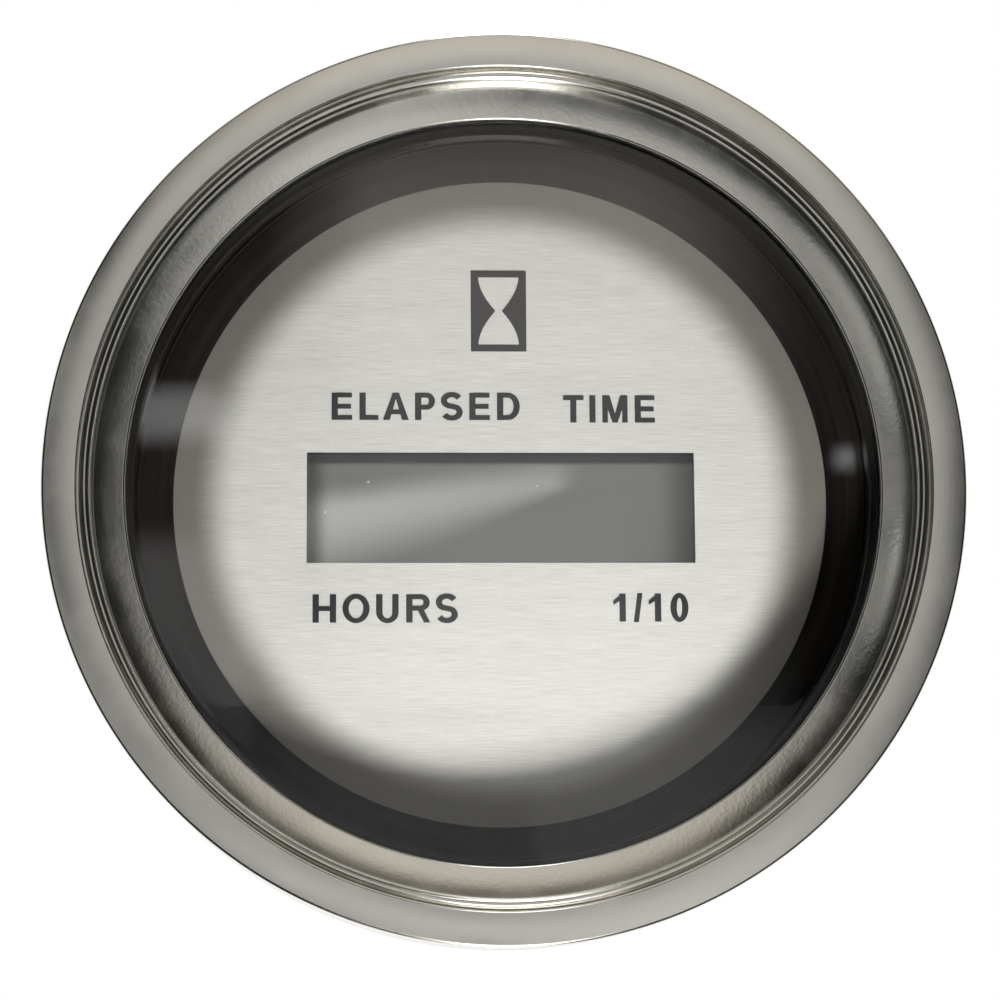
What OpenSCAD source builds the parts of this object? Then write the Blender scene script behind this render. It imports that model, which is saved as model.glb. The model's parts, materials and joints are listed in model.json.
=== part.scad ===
// Round panel-mount hour meter with a liquid crystal window, a bright metal bezel
// and a U-shaped clamp that pulls it against the panel from behind.
// The face looks along -Y, +Z is up, and the origin is on the meter's axis
// in the plane where the rubber ring meets the front of the panel.

/* [Panel fit] */
// Outside diameter of the barrel that goes through the panel hole
barrel_d = 51.8; // [46:0.1:58]
// Depth of the case behind the front of the panel
case_depth = 36; // [32:0.5:46]
// Thickness of panel that the clamp stands ready for
panel_t = 6; // [4:0.5:12]
// Thickness of the rubber ring between bezel and panel
panel_gasket_t = 1; // [0.8:0.1:2]
// Gap from the barrel to that ring
gasket_gap = 0.9; // [0.85:0.05:1.2]

/* [Bezel] */
// How far the bezel stands out past the barrel
bezel_overhang = 4.6; // [4:0.1:6]
// Width of the whole bezel, from its rim to the lens opening
bezel_band = 5.3; // [5:0.1:6]
// Height of the bezel's front above the panel
bezel_h = 10.5; // [9.5:0.1:13]
// Thickness of the bezel's metal
bezel_sheet = 0.6; // [0.4:0.05:0.7]
// Radius of the bezel's outer corner
bezel_edge_r = 0.2; // [0.1:0.05:0.5]
// Width of the flat front face
bezel_face_w = 1.95; // [1.6:0.05:2.3]
// Radius of the fold between the flat face and the groove
face_fold_r = 0.12; // [0.05:0.01:0.25]
// Depth of the groove inside the flat face
groove_depth = 1.3; // [1.1:0.05:1.6]
// Radius of the half-round bead that runs round in the groove
bead_r = 0.44; // [0.3:0.01:0.5]
// Gap on either side of the bead
bead_gap = 0.08; // [0.04:0.01:0.12]
// How far the ridge inside the bead lies behind the front face
ridge_drop = 1.15; // [0.9:0.05:1.3]
// Rise of the inner ring's shallow cone, from the lens opening out to the ridge
cone_rise = 0.4; // [0.2:0.05:0.6]
// How sharply that cone turns up to the ridge
cone_turn = 6; // [4:1:8]
// Radius of the lip's edge at the lens opening
lip_edge_r = 0.14; // [0.05:0.01:0.3]
// How far the lens opening lies behind the front face
lip_drop = 2.5; // [2.2:0.1:3]
// Width of the edge that is rolled under the case
hem_w = 2.3; // [1.8:0.1:2.6]

/* [Lens] */
// Thickness of the glass
lens_t = 2; // [1.5:0.1:3]
// How far the glass reaches under the bezel's lip
lens_lap = 3; // [2.4:0.1:3.2]
// Rise of the domed glass at its centre
lens_dome = 1.2; // [0.4:0.1:1.6]
// Thickness of the rubber ring behind the glass
lens_gasket_t = 0.8; // [0.5:0.1:1.2]

/* [Dial] */
// Thickness of the dial plate
dial_t = 0.5; // [0.4:0.1:0.8]
// Distance from the case's front rim back to the dial
dial_gap = 3.1; // [2.6:0.1:3.6]
// Width of the black ring round the dial
dial_ring_w = 3; // [2.4:0.1:4]
// Thickness of the black ring's wall at the glass
ring_wall = 0.6; // [0.4:0.1:0.9]
// Height of the black ring's ledge above the dial
ring_ledge_h = 2.1; // [1.4:0.1:2.6]
// Distance from the seen edge of the dial out to the ring's ledge
ring_ledge_in = 1; // [0.6:0.1:1.3]
// Fall of the black ring's ledge towards the dial
ring_ledge_fall = 0.4; // [0.2:0.1:0.8]
// Width of the display window
window_w = 26.5; // [22:0.1:28]
// Height of the display window
window_h = 7.7; // [6:0.1:8.6]
// How far the window's centre lies below the dial's centre
window_drop = 0.5; // [0:0.1:1]
// Radius of the pegs that key the dial to the case
peg_r = 0.6; // [0.4:0.05:0.7]

/* [Display] */
// Width of the display cell
lcd_w = 30.5; // [29:0.1:33]
// Height of the display cell
lcd_h = 12.5; // [11.5:0.1:14]
// Thickness of each of the cell's two glass plates
lcd_glass_t = 1.1; // [0.7:0.1:1.4]
// Contact ledge along the cell's long edges
lcd_ledge = 1.2; // [0.8:0.1:1.4]
// Thickness of the light diffuser behind the cell
diffuser_t = 1; // [0.6:0.1:1.6]
// Height of the rubber contact strips between cell and board
zebra_h = 2.9; // [2.2:0.1:4]
// Thickness of the rubber contact strips
zebra_w = 1.8; // [1.2:0.1:2]
// Thickness of the display frame's rim in front of the cell
frame_rim_t = 0.4; // [0.3:0.1:0.8]
// Wall of the display frame round the cell
frame_wall = 2.4; // [1.6:0.1:3.5]
// Thickness of the display frame's front disc
frame_disc_t = 1.5; // [1.2:0.1:2.2]
// Wall of the frame's legs round the screw heads
frame_leg_wall = 1.3; // [1:0.1:1.6]

/* [Board] */
// Thickness of the circuit board
board_t = 1.6; // [1:0.1:2]
// Height of the light opening in the board
light_h = 5.6; // [4:0.1:6]
// Height of the filter capacitor
capacitor_h = 9; // [6:0.5:11]
// Radius of the filter capacitor
capacitor_r = 4; // [2.5:0.1:4.5]
// Length of the quartz crystal's can
crystal_l = 8; // [6:0.5:9]
// Radius of the quartz crystal's can
crystal_r = 1.5; // [1:0.05:1.6]
// Radius of the resin cap over the controller
controller_r = 4.5; // [3.5:0.1:5]
// Height of the resin cap over the controller
controller_h = 1.5; // [1:0.1:2]
// Side lengths of the memory chip
memory_size = [5, 4, 1.6]; // [1:0.1:6]
// Side lengths of one chip resistor
resistor_size = [3.2, 1.6, 0.6]; // [0.5:0.1:4]
// Length of the rectifier diode's body
diode_l = 5.2; // [4:0.1:6]
// Radius of the rectifier diode's body
diode_r = 1.35; // [1:0.05:1.6]
// Radius of the frame screws' shanks
screw_r = 1; // [0.8:0.05:1.1]
// Radius of the frame screws' heads
screw_head_r = 1.9; // [1.6:0.1:2.1]
// How far the frame screws run into their posts
screw_bite = 6; // [4:0.5:9]

/* [Case] */
// Thickness of the case's back wall
back_t = 2.5; // [2:0.1:3.5]
// Radius of the rounded edge at the back of the case
back_edge_r = 1.5; // [0.8:0.1:2.2]
// Width of the ledge that carries the dial
ledge_w = 1.7; // [1.5:0.1:2.2]
// Height of the collar that centres the glass
guard_h = 2.4; // [1.8:0.1:2.6]
// Radius of the three posts that carry the board
post_r = 2.8; // [2.3:0.1:3]
// Distance from the bore's wall to the posts' centres
post_inset = 4.1; // [3.8:0.1:5]
// Thickness of the ribs that tie the posts to the wall
rib_t = 1.4; // [1:0.1:2]

/* [Clamp] */
// Diameter of the two mounting studs
stud_d = 4.16; // [3.4:0.01:4.9]
// Distance from the barrel's surface in to the studs' centres
stud_inset = 11.4; // [10:0.1:13]
// Length of stud that shows behind the case
stud_l = 22.5; // [20:0.5:28]
// Corner radius of the hexagonal heads inside the case
stud_head_r = 4.2; // [3.5:0.1:4.6]
// Thickness of the hexagonal heads inside the case
stud_head_t = 2.5; // [1.5:0.1:3]
// Thickness of the clamp's strip
strip_t = 1.2; // [1:0.1:1.6]
// Width of the clamp's strip
strip_w = 12; // [10:0.5:13]
// Inside radius of the clamp's two bends
bend_r = 1.5; // [0.8:0.1:2.5]
// Gap from the barrel to the clamp's legs
leg_gap = 1; // [0.6:0.1:1.4]
// Length of the clamp's legs, from the feet to the inside of the base
leg_l = 36; // [35:0.5:42]
// Radius of the arch between the two feet of each leg
arch_r = 3.4; // [2:0.1:4.5]
// Thickness of the spring washers
washer_t = 1; // [0.6:0.1:1.4]
// Outside radius of the spring washers
washer_r = 3.9; // [3.3:0.1:4.4]
// Width of the slit in the spring washers
washer_slit = 0.8; // [0.5:0.1:1.2]

/* [Thumb nuts] */
// Radius of the fluted head
nut_r = 5.5; // [4.8:0.1:6.5]
// Height of the fluted head
nut_head_h = 5; // [4:0.1:6]
// Radius of the collar that bears on the washer
nut_collar_r = 4.2; // [3.6:0.1:4.6]
// Height of the collar
nut_collar_h = 1.5; // [0.8:0.1:2]
// Number of flutes round the head
flutes = 20; // [12:1:26]
// Radius of one flute
flute_r = 0.55; // [0.3:0.05:0.6]
// Chamfer on the head's two edges
nut_chamfer = 0.6; // [0.3:0.1:0.9]

/* [Terminals] */
// Width of the two blade terminals
blade_w = 6.3; // [4.8:0.1:6.4]
// Thickness of the blades
blade_t = 0.8; // [0.5:0.05:1]
// Length of blade that shows behind the case
blade_l = 9; // [7:0.5:12]
// Taper at the corners of each blade's tip
blade_taper = 1; // [0.5:0.1:1.5]
// Width of the tail that is soldered into the board
tail_w = 2.4; // [1.6:0.1:3]
// Sideways distance from the centre to each blade
blade_x = 9; // [7:0.5:11]
// Distance from the barrel's surface in to the blades
blade_inset = 11.9; // [11:0.1:13]
// Radius of the latch hole in each blade
latch_r = 0.9; // [0.6:0.05:1]

/* [Lamp] */
// Diameter of the lamp hole in the back of the case
lamp_hole_d = 12.4; // [11.6:0.1:13]
// Distance from the barrel's surface in to the lamp's centre
lamp_inset = 10.4; // [10:0.1:11]
// How far the two lugs stand out from the lamp holder
lug_out = 1.3; // [0.9:0.1:1.4]
// Width of the lugs
lug_w = 3; // [2:0.1:3.6]
// Thickness of the lugs
lug_t = 1.5; // [1:0.1:2]
// How far the holder's flange reaches past the lugs
flange_cover = 1; // [0.6:0.1:1.2]
// Thickness of the holder's flange
lamp_flange_t = 1.5; // [1:0.1:2]
// Thickness of the rubber washer under the flange
lamp_seal_t = 0.8; // [0.5:0.1:1.2]
// Length of the finger grip
grip_l = 6; // [4:0.5:8]
// Thickness of the finger grip
grip_t = 4.4; // [3:0.1:5.5]
// How far the holder's socket reaches into the case
socket_l = 5; // [4:0.5:7]
// How far the bulb's glass sits inside the socket
bulb_sink = 2; // [1:0.1:3]
// Radius of the bulb's glass
bulb_r = 4.9; // [4:0.1:5.1]
// Length of the bulb's glass
bulb_l = 16; // [13:0.5:17]
// Side lengths of the bulb's flat wedge base
wedge_size = [8.2, 2.2, 5.6]; // [2:0.1:8.6]
// Length of the lamp's own blade that shows behind the grip
lamp_blade_l = 6.5; // [5:0.5:8]
// Width of the lamp's own blade
lamp_blade_w = 4.8; // [2.8:0.1:5]

/* [Clearances] */
// Around parts that are dropped into a recess
drop_fit = 0.2; // [0.1:0.05:0.3]
// Around pins that turn, and nuts on their studs
run_fit = 0.05; // [0.02:0.01:0.1]
// Around studs that pass through a moving plate
pass_fit = 0.3; // [0.2:0.05:0.4]
// Around metal that is held in plastic
held_fit = 0.05; // [0.02:0.01:0.1]

/* [Hidden] */
$fn = 96;
big_fn = 720;

// Radii, from the barrel outwards and back in to the dial
barrel_r = barrel_d / 2;
bezel_r = barrel_r + bezel_overhang;
aperture_r = bezel_r - bezel_band;
hem_r = bezel_r - hem_w;
flange_r = bezel_r - bezel_sheet - drop_fit / 2;
lens_r = aperture_r + lens_lap;
guard_r = lens_r + drop_fit;
cup_r = aperture_r + 1.5 * drop_fit;
dial_r = cup_r - drop_fit;
bore_r = dial_r - ledge_w;
peg_ring_r = (bore_r + cup_r) / 2;
dial_view_r = dial_r - dial_ring_w;
frame_r = bore_r - pass_fit;
board_r = bore_r - 2 * pass_fit;

// Heights above the panel face, from the front of the bezel to the back of the case
lip_z = bezel_h - lip_drop;
lens_front_z = lip_z - bezel_sheet;
lens_back_z = lens_front_z - lens_t;
rim_z = lens_back_z - lens_gasket_t;
dial_front_z = rim_z - dial_gap;
ledge_z = dial_front_z - dial_t;
lcd_front_z = ledge_z - frame_rim_t;
lcd_back_z = lcd_front_z - 2 * lcd_glass_t;
board_front_z = lcd_back_z - zebra_h;
board_back_z = board_front_z - board_t;
back_z = -case_depth;
floor_z = back_z + back_t;
guard_z = rim_z + guard_h;

// Screw posts
post_ring_r = bore_r - post_inset;
post_angles = [30, 150, 270];
screw_seat_z = ledge_z - frame_disc_t;
screw_head_h = frame_disc_t - drop_fit;
leg_post_r = screw_head_r + frame_leg_wall;

// Clamp
stud_r = stud_d / 2;
stud_x = barrel_r - stud_inset;
leg_x = barrel_r + leg_gap;
foot_z = -panel_t;
base_in_z = foot_z - leg_l;
base_out_z = base_in_z - strip_t;
washer_z = base_out_z - washer_t;
nut_z = washer_z - run_fit;

// Terminals
blade_y = blade_inset - barrel_r;
blade_tip_z = back_z - blade_l;

// Lamp
lamp_y = barrel_r - lamp_inset;
lamp_hole_r = lamp_hole_d / 2;
lamp_body_r = lamp_hole_r - 2 * run_fit;
lug_r = lamp_body_r + lug_out;
lamp_flange_r = lug_r + flange_cover;
seal_z = back_z - run_fit;
lamp_flange_z = seal_z - lamp_seal_t;
grip_z = lamp_flange_z - lamp_flange_t;
grip_end_z = grip_z - grip_l;
socket_z = floor_z + socket_l;
bulb_seat_z = socket_z - bulb_sink;
lamp_turn = 45;

// Points along an arc
function arc(centre, r, from, to, steps) = [
    for (i = [0:steps]) let (a = from + (to - from) * i / steps) centre + r * [cos(a), sin(a)]
];

// Radius of a dome that rises by h over a circle of radius r
function dome_r(r, h) = (r * r + h * h) / (2 * h);

// Stands a face-on drawing upright: x stays right, y becomes up, z becomes the way the face looks
module stand() {
    rotate([90, 0, 0]) children();
}

// Tube between two heights
module tube(r_out, r_in, z0, z1) {
    translate([0, 0, z0]) difference() {
        cylinder(r = r_out, h = z1 - z0);
        translate([0, 0, -1]) cylinder(r = r_in, h = z1 - z0 + 2);
    }
}

// Block centred in x and y, between two heights
module block(size_x, size_y, z0, z1) {
    translate([-size_x / 2, -size_y / 2, z0]) cube([size_x, size_y, z1 - z0]);
}

// Round pin between two heights
module pin(r, z0, z1) {
    translate([0, 0, z0]) cylinder(r = r, h = z1 - z0);
}

// Copies at the three screw posts
module at_posts() {
    for (a = post_angles) rotate([0, 0, a]) translate([post_ring_r, 0, 0]) children();
}

// Copies at the two mounting studs
module at_studs() {
    for (side = [-1, 1]) translate([side * stud_x, 0, 0]) children();
}

// Moulded case: barrel, flange, dial ledge, collar for the glass, screw posts and openings at the back
module case() {
    color("#1b1b1d") stand() difference() {
        union() {
            case_shell();
            at_posts() case_post();
            for (side = [-1, 1]) translate([side * peg_ring_r, 0, 0])
                pin(peg_r, ledge_z - dial_t, dial_front_z);
        }
        at_posts() pin(screw_r + run_fit, board_back_z - screw_bite - 1, board_back_z + 1);
        at_studs() pin(stud_r + held_fit, back_z - 1, floor_z + 1);
        for (side = [-1, 1]) translate([side * blade_x, blade_y, 0])
            block(blade_w + 2 * held_fit, blade_t + 2 * held_fit, back_z - 1, floor_z + 1);
        translate([0, lamp_y, 0]) lamp_opening();
    }
}

module case_shell() {
    rotate_extrude() polygon(concat(
        [[0, back_z]],
        arc([barrel_r - back_edge_r, back_z + back_edge_r], back_edge_r, -90, 0, 6),
        [
            [barrel_r, panel_gasket_t], [flange_r, panel_gasket_t], [flange_r, guard_z],
            [guard_r, guard_z], [guard_r, rim_z], [cup_r, rim_z], [cup_r, ledge_z],
            [bore_r, ledge_z], [bore_r, floor_z], [0, floor_z]
        ]
    ));
}

module case_post() {
    pin(post_r, floor_z - back_t / 2, board_back_z);
    translate([0, -rib_t / 2, floor_z - back_t / 2])
        cube([post_inset + ledge_w / 2, rib_t, board_back_z - floor_z]);
}

module lamp_opening() {
    pin(lamp_hole_r, back_z - 1, floor_z + 1);
    block(2 * (lug_r + drop_fit), lug_w + 2 * drop_fit, back_z - 1, floor_z + 1);
}

// Rubber ring that seals the bezel to the panel
module panel_gasket() {
    color("#2a2a2c") stand() tube(hem_r - drop_fit, barrel_r + gasket_gap, 0, panel_gasket_t);
}

// Drawn metal bezel: flat face, half-round bead in a groove, shallow inner cone that turns up to a ridge,
// lip over the glass, edge rolled under
module bezel() {
    face_r = bezel_r - bezel_face_w;
    wall_r = face_r - face_fold_r;
    groove_z = bezel_h - groove_depth;
    bead_c = wall_r - bead_gap - bead_r;
    ridge_r = bead_c - bead_r - bead_gap;
    ridge_z = bezel_h - ridge_drop;
    lip_r = aperture_r + lip_edge_r;
    cone_w = ridge_r - lip_r;
    turn_h = ridge_z - lip_z - cone_rise;
    cone_steps = 10;
    color("#d4d4d6") stand() rotate_extrude($fn = 180) polygon(concat(
        [[hem_r, panel_gasket_t], [hem_r, panel_gasket_t - bezel_sheet]],
        arc([bezel_r - bezel_edge_r, panel_gasket_t - bezel_sheet + bezel_edge_r], bezel_edge_r, -90, 0, 3),
        arc([bezel_r - bezel_edge_r, bezel_h - bezel_edge_r], bezel_edge_r, 0, 90, 3),
        arc([face_r, bezel_h - face_fold_r], face_fold_r, 90, 180, 3),
        [[wall_r, groove_z]],
        arc([bead_c, groove_z], bead_r, 0, 180, 8),
        [[ridge_r, groove_z]],
        [for (i = [0:cone_steps]) let (up = 1 - i / cone_steps)
            [lip_r + cone_w * up, lip_z + cone_rise * up + turn_h * pow(up, cone_turn)]],
        arc([lip_r, lip_z - lip_edge_r], lip_edge_r, 90, 180, 3),
        [
            [aperture_r, lens_front_z], [aperture_r + 2 * bezel_sheet, lens_front_z],
            [ridge_r, groove_z - bezel_sheet], [wall_r + bezel_sheet, groove_z - bezel_sheet],
            [wall_r + bezel_sheet, bezel_h - bezel_sheet], [bezel_r - bezel_sheet, bezel_h - bezel_sheet],
            [bezel_r - bezel_sheet, panel_gasket_t]
        ]
    ));
}

// Domed glass with a flat rim
module lens() {
    dome_edge_r = aperture_r - drop_fit;
    big_r = dome_r(dome_edge_r, lens_dome);
    color("#dfe6e8", 0.35) stand() rotate_extrude($fn = 180) difference() {
        union() {
            translate([0, lens_back_z]) square([lens_r, lens_t]);
            intersection() {
                translate([0, lens_front_z + lens_dome - big_r]) circle(r = big_r, $fn = big_fn);
                translate([0, lens_back_z]) square([dome_edge_r, lens_t + lens_dome]);
            }
        }
        intersection() {
            translate([0, lens_back_z + lens_dome - big_r]) circle(r = big_r, $fn = big_fn);
            translate([0, lens_back_z - 1]) square([dome_edge_r, lens_dome + 2]);
        }
    }
}

// Rubber ring that the glass is pressed against
module lens_gasket() {
    color("#232325") stand() tube(lens_r, cup_r + drop_fit, rim_z, lens_back_z);
}

// Black funnel between the glass and the dial, with a stepped ledge half way down
module dial_ring() {
    top_z = lens_back_z - drop_fit / 2;
    wall_r = dial_r - ring_wall;
    ledge_top_z = dial_front_z + ring_ledge_h;
    ledge_in_r = dial_view_r + ring_ledge_in;
    color("#0f0f10") stand() rotate_extrude($fn = 180) polygon([
        [dial_r, dial_front_z], [dial_r, top_z], [wall_r, top_z],
        [wall_r - drop_fit, ledge_top_z], [ledge_in_r, ledge_top_z - ring_ledge_fall],
        [dial_view_r + drop_fit, dial_front_z + 2 * drop_fit], [dial_view_r, dial_front_z]
    ]);
}

// Brushed dial plate with the display window
module dial_plate() {
    color("#c6c5c2") stand() difference() {
        pin(dial_r, ledge_z, dial_front_z);
        translate([0, -window_drop, 0]) block(window_w, window_h, ledge_z - 1, dial_front_z + 1);
        for (side = [-1, 1]) translate([side * peg_ring_r, 0, 0])
            pin(peg_r + drop_fit / 2, ledge_z - 1, dial_front_z + 1);
    }
}

// Moulded frame behind the dial: disc, walls round the cell, and a leg over each screw post
module display_frame() {
    sight = 2 * drop_fit;
    color("#161617") stand() difference() {
        union() {
            pin(frame_r, screw_seat_z, ledge_z);
            translate([0, -window_drop, 0])
                block(lcd_w + 2 * frame_wall, lcd_h + 2 * frame_wall, board_front_z, ledge_z);
            at_posts() pin(leg_post_r, board_front_z, ledge_z);
        }
        translate([0, -window_drop, 0]) {
            block(window_w + 2 * sight, window_h + 2 * sight, lcd_front_z - 1, ledge_z + 1);
            block(lcd_w + drop_fit, lcd_h + drop_fit, board_front_z - 1, lcd_front_z);
        }
        at_posts() {
            pin(screw_head_r + drop_fit, screw_seat_z, ledge_z + 1);
            pin(screw_r + drop_fit, board_front_z - 1, ledge_z);
        }
    }
}

// Display cell: two bonded glass plates, the rear one with contact ledges
module lcd_cell() {
    color("#8f948f") stand() translate([0, -window_drop, 0]) {
        block(lcd_w, lcd_h - 2 * lcd_ledge, lcd_front_z - lcd_glass_t, lcd_front_z);
        block(lcd_w, lcd_h, lcd_back_z, lcd_front_z - lcd_glass_t);
    }
}

// White plate that spreads the lamp's light behind the cell
module lcd_diffuser() {
    diffuser_h = lcd_h - 2 * zebra_w - 4 * drop_fit;
    color("#ecebe4") stand() translate([0, -window_drop, 0])
        block(lcd_w - 4 * drop_fit, diffuser_h, lcd_back_z - diffuser_t, lcd_back_z);
}

// Rubber contact strips along both long edges of the cell
module zebra_strips() {
    strip_y = (lcd_h - zebra_w) / 2;
    color("#b7a98f") stand() for (side = [-1, 1])
        translate([0, side * strip_y - window_drop, 0])
            block(lcd_w - 2 * drop_fit, zebra_w, board_front_z, lcd_back_z);
}

// Screws that hold frame and board on the posts
module frame_screws() {
    head_z = screw_seat_z + screw_head_h;
    slot_z = screw_seat_z + screw_head_h / 2;
    color("#b9bbbd") stand() at_posts() difference() {
        union() {
            pin(screw_head_r, screw_seat_z, head_z);
            pin(screw_r, board_back_z - screw_bite, slot_z);
        }
        block(2 * screw_head_r + 1, screw_r / 2, slot_z, head_z + 1);
    }
}

// Circuit board with light opening, screw holes and slots for the blades' tails
module circuit_board() {
    color("#1f5a38") stand() difference() {
        pin(board_r, board_back_z, board_front_z);
        translate([0, -window_drop, 0])
            block(lcd_w - 4 * zebra_w, light_h, board_back_z - 1, board_front_z + 1);
        at_posts() pin(screw_r + drop_fit, board_back_z - 1, board_front_z + 1);
        for (side = [-1, 1]) translate([side * blade_x, blade_y, 0])
            block(tail_w + 2 * held_fit, blade_t + 2 * held_fit, board_back_z - 1, board_front_z + 1);
    }
}

// Resin cap over the controller on the back of the board
module controller_cap() {
    cap_r = dome_r(controller_r, controller_h);
    cap_y = lcd_h / 2 + controller_r - 2 * drop_fit;
    color("#101012") stand() translate([-lcd_w / 4, cap_y, board_back_z]) intersection() {
        translate([0, 0, cap_r - controller_h]) sphere(r = cap_r);
        translate([0, 0, -controller_h - 1]) cylinder(r = controller_r + 1, h = controller_h + 1);
    }
}

// Chip that keeps the count without power
module memory_chip() {
    chip_y = lcd_h / 2 + memory_size[1];
    color("#18181a") stand() translate([lcd_w / 4, chip_y, 0])
        block(memory_size[0], memory_size[1], board_back_z - memory_size[2], board_back_z);
}

// Quartz crystal in its can, lying on the board
module quartz_crystal() {
    can_y = -lcd_h / 2 - crystal_r;
    lead_r = crystal_r / 6;
    color("#c9cacb") stand() translate([-blade_x - crystal_l / 2, can_y, board_back_z - crystal_r]) {
        rotate([0, 90, 0]) cylinder(r = crystal_r, h = crystal_l);
        for (side = [-1, 1]) translate([-crystal_r, side * crystal_r / 3, 0]) {
            rotate([0, 90, 0]) cylinder(r = lead_r, h = crystal_r + lead_r);
            cylinder(r = lead_r, h = crystal_r);
        }
    }
}

// Standing filter capacitor
module filter_capacitor() {
    can_y = -lcd_h / 2 - capacitor_r;
    crimp = capacitor_r / 12;
    crimp_h = capacitor_h / 8;
    end_z = board_back_z - capacitor_h;
    color("#23324f") stand() translate([0, can_y, 0]) rotate_extrude() polygon([
        [0, board_back_z], [capacitor_r, board_back_z], [capacitor_r, board_back_z - crimp_h],
        [capacitor_r - crimp, board_back_z - crimp_h - crimp],
        [capacitor_r - crimp, board_back_z - crimp_h - 2 * crimp],
        [capacitor_r, board_back_z - crimp_h - 3 * crimp], [capacitor_r, end_z + crimp],
        [capacitor_r - crimp, end_z], [0, end_z]
    ]);
}

// Diode that guards against a reversed supply
module rectifier_diode() {
    body_y = -lcd_h / 2 - diode_r;
    lead_r = diode_r / 4;
    lead_out = diode_l / 3;
    color("#242426") stand() translate([blade_x + diode_l / 2, body_y, board_back_z - diode_r]) {
        rotate([0, 90, 0]) cylinder(r = diode_r, h = diode_l, center = true);
        rotate([0, 90, 0]) cylinder(r = lead_r, h = diode_l + 2 * lead_out, center = true);
        for (side = [-1, 1]) translate([side * (diode_l / 2 + lead_out - lead_r), 0, 0])
            cylinder(r = lead_r, h = diode_r);
    }
}

// Row of chip resistors
module chip_resistors() {
    pitch = 2 * resistor_size[1];
    color("#2d2c2a") stand() for (i = [-1.5:1:1.5])
        translate([-board_r + post_inset + resistor_size[0] / 2, i * pitch - window_drop, 0])
            block(resistor_size[0], resistor_size[1], board_back_z - resistor_size[2], board_back_z);
}

// Blade terminal: soldered tail, shoulder behind the board, tapered tip with a latch hole
module terminal_blade() {
    difference() {
        union() {
            block(tail_w, blade_t, board_back_z, board_front_z + blade_t / 2);
            rotate([90, 0, 0]) linear_extrude(height = blade_t, center = true) polygon([
                [-blade_w / 2, board_back_z], [blade_w / 2, board_back_z],
                [blade_w / 2, blade_tip_z + blade_taper], [blade_w / 2 - blade_taper, blade_tip_z],
                [-blade_w / 2 + blade_taper, blade_tip_z], [-blade_w / 2, blade_tip_z + blade_taper]
            ]);
        }
        translate([0, 0, blade_tip_z + blade_l / 2]) rotate([90, 0, 0])
            cylinder(r = latch_r, h = blade_t + 2, center = true);
    }
}

module supply_blade() {
    color("#c9a64b") stand() translate([blade_x, blade_y, 0]) terminal_blade();
}

module ground_blade() {
    color("#c9a64b") stand() translate([-blade_x, blade_y, 0]) terminal_blade();
}

// Two studs with hexagonal heads inside the case
module mounting_studs() {
    color("#b4b6b8") stand() at_studs() {
        pin(stud_r, back_z - stud_l, floor_z);
        translate([0, 0, floor_z]) cylinder(r = stud_head_r, h = stud_head_t, $fn = 6);
    }
}

// U-shaped strip whose four feet press on the back of the panel
module clamp_bracket() {
    color("#a9abad") stand() difference() {
        rotate([90, 0, 0]) linear_extrude(height = strip_w, center = true) difference() {
            channel(leg_x + strip_t, base_out_z, bend_r + strip_t, foot_z);
            channel(leg_x, base_in_z, bend_r, foot_z + 1);
        }
        at_studs() pin(stud_r + pass_fit, base_out_z - 1, base_in_z + 1);
        translate([0, 0, foot_z]) rotate([0, 90, 0])
            cylinder(r = arch_r, h = 2 * (leg_x + strip_t) + 2, center = true);
    }
}

// Rectangle with its two lower corners rounded
module channel(half_w, low, r, high) {
    translate([-half_w, low + r]) square([2 * half_w, high - low - r]);
    translate([r - half_w, low]) square([2 * (half_w - r), 2 * r]);
    for (side = [-1, 1]) translate([side * (half_w - r), low + r]) circle(r = r);
}

// Slit spring washers under the nuts
module spring_washers() {
    color("#9fa1a3") stand() at_studs() difference() {
        tube(washer_r, stud_r + pass_fit, washer_z, base_out_z);
        translate([0, washer_r, 0]) block(washer_slit, 2 * washer_r, washer_z - 1, base_out_z + 1);
    }
}

// Fluted thumb nut: collar towards the washer, chamfered head with a ring of flutes
module thumb_nut() {
    head_z = nut_z - nut_collar_h;
    end_z = head_z - nut_head_h;
    difference() {
        rotate_extrude() polygon([
            [stud_r + run_fit, nut_z], [nut_collar_r, nut_z], [nut_collar_r, head_z],
            [nut_r - nut_chamfer, head_z], [nut_r, head_z - nut_chamfer], [nut_r, end_z + nut_chamfer],
            [nut_r - nut_chamfer, end_z], [stud_r + run_fit, end_z]
        ]);
        for (i = [0:flutes - 1]) rotate([0, 0, i * 360 / flutes]) translate([nut_r + flute_r / 4, 0, 0])
            pin(flute_r, end_z - 1, head_z + nut_collar_h / 2);
    }
}

module thumb_nut_left() {
    color("#b99a52") stand() translate([-stud_x, 0, 0]) thumb_nut();
}

module thumb_nut_right() {
    color("#b99a52") stand() translate([stud_x, 0, 0]) thumb_nut();
}

// Twist-in lamp holder: socket, two lugs, flange and finger grip
module lamp_holder() {
    color("#1d1d20") stand() translate([0, lamp_y, 0]) difference() {
        union() {
            pin(lamp_body_r, grip_z, socket_z);
            pin(lamp_flange_r, grip_z, lamp_flange_z);
            rotate([0, 0, lamp_turn]) {
                block(2 * lug_r, lug_w, floor_z + 2 * run_fit, floor_z + 2 * run_fit + lug_t);
                block(2 * lamp_body_r, grip_t, grip_end_z, lamp_flange_z);
            }
        }
        pin(bulb_r + drop_fit, bulb_seat_z, socket_z + 1);
        rotate([0, 0, lamp_turn]) {
            block(wedge_size[0] + drop_fit, wedge_size[1] + drop_fit,
                bulb_seat_z - wedge_size[2] - drop_fit, socket_z);
            block(lamp_blade_w + 2 * held_fit, blade_t + 2 * held_fit, grip_end_z - 1, grip_z);
        }
    }
}

// Rubber washer under the lamp holder's flange
module lamp_seal() {
    color("#2a2a2c") stand() translate([0, lamp_y, 0])
        tube(lamp_flange_r - drop_fit, lamp_body_r + run_fit, lamp_flange_z, seal_z);
}

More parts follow.
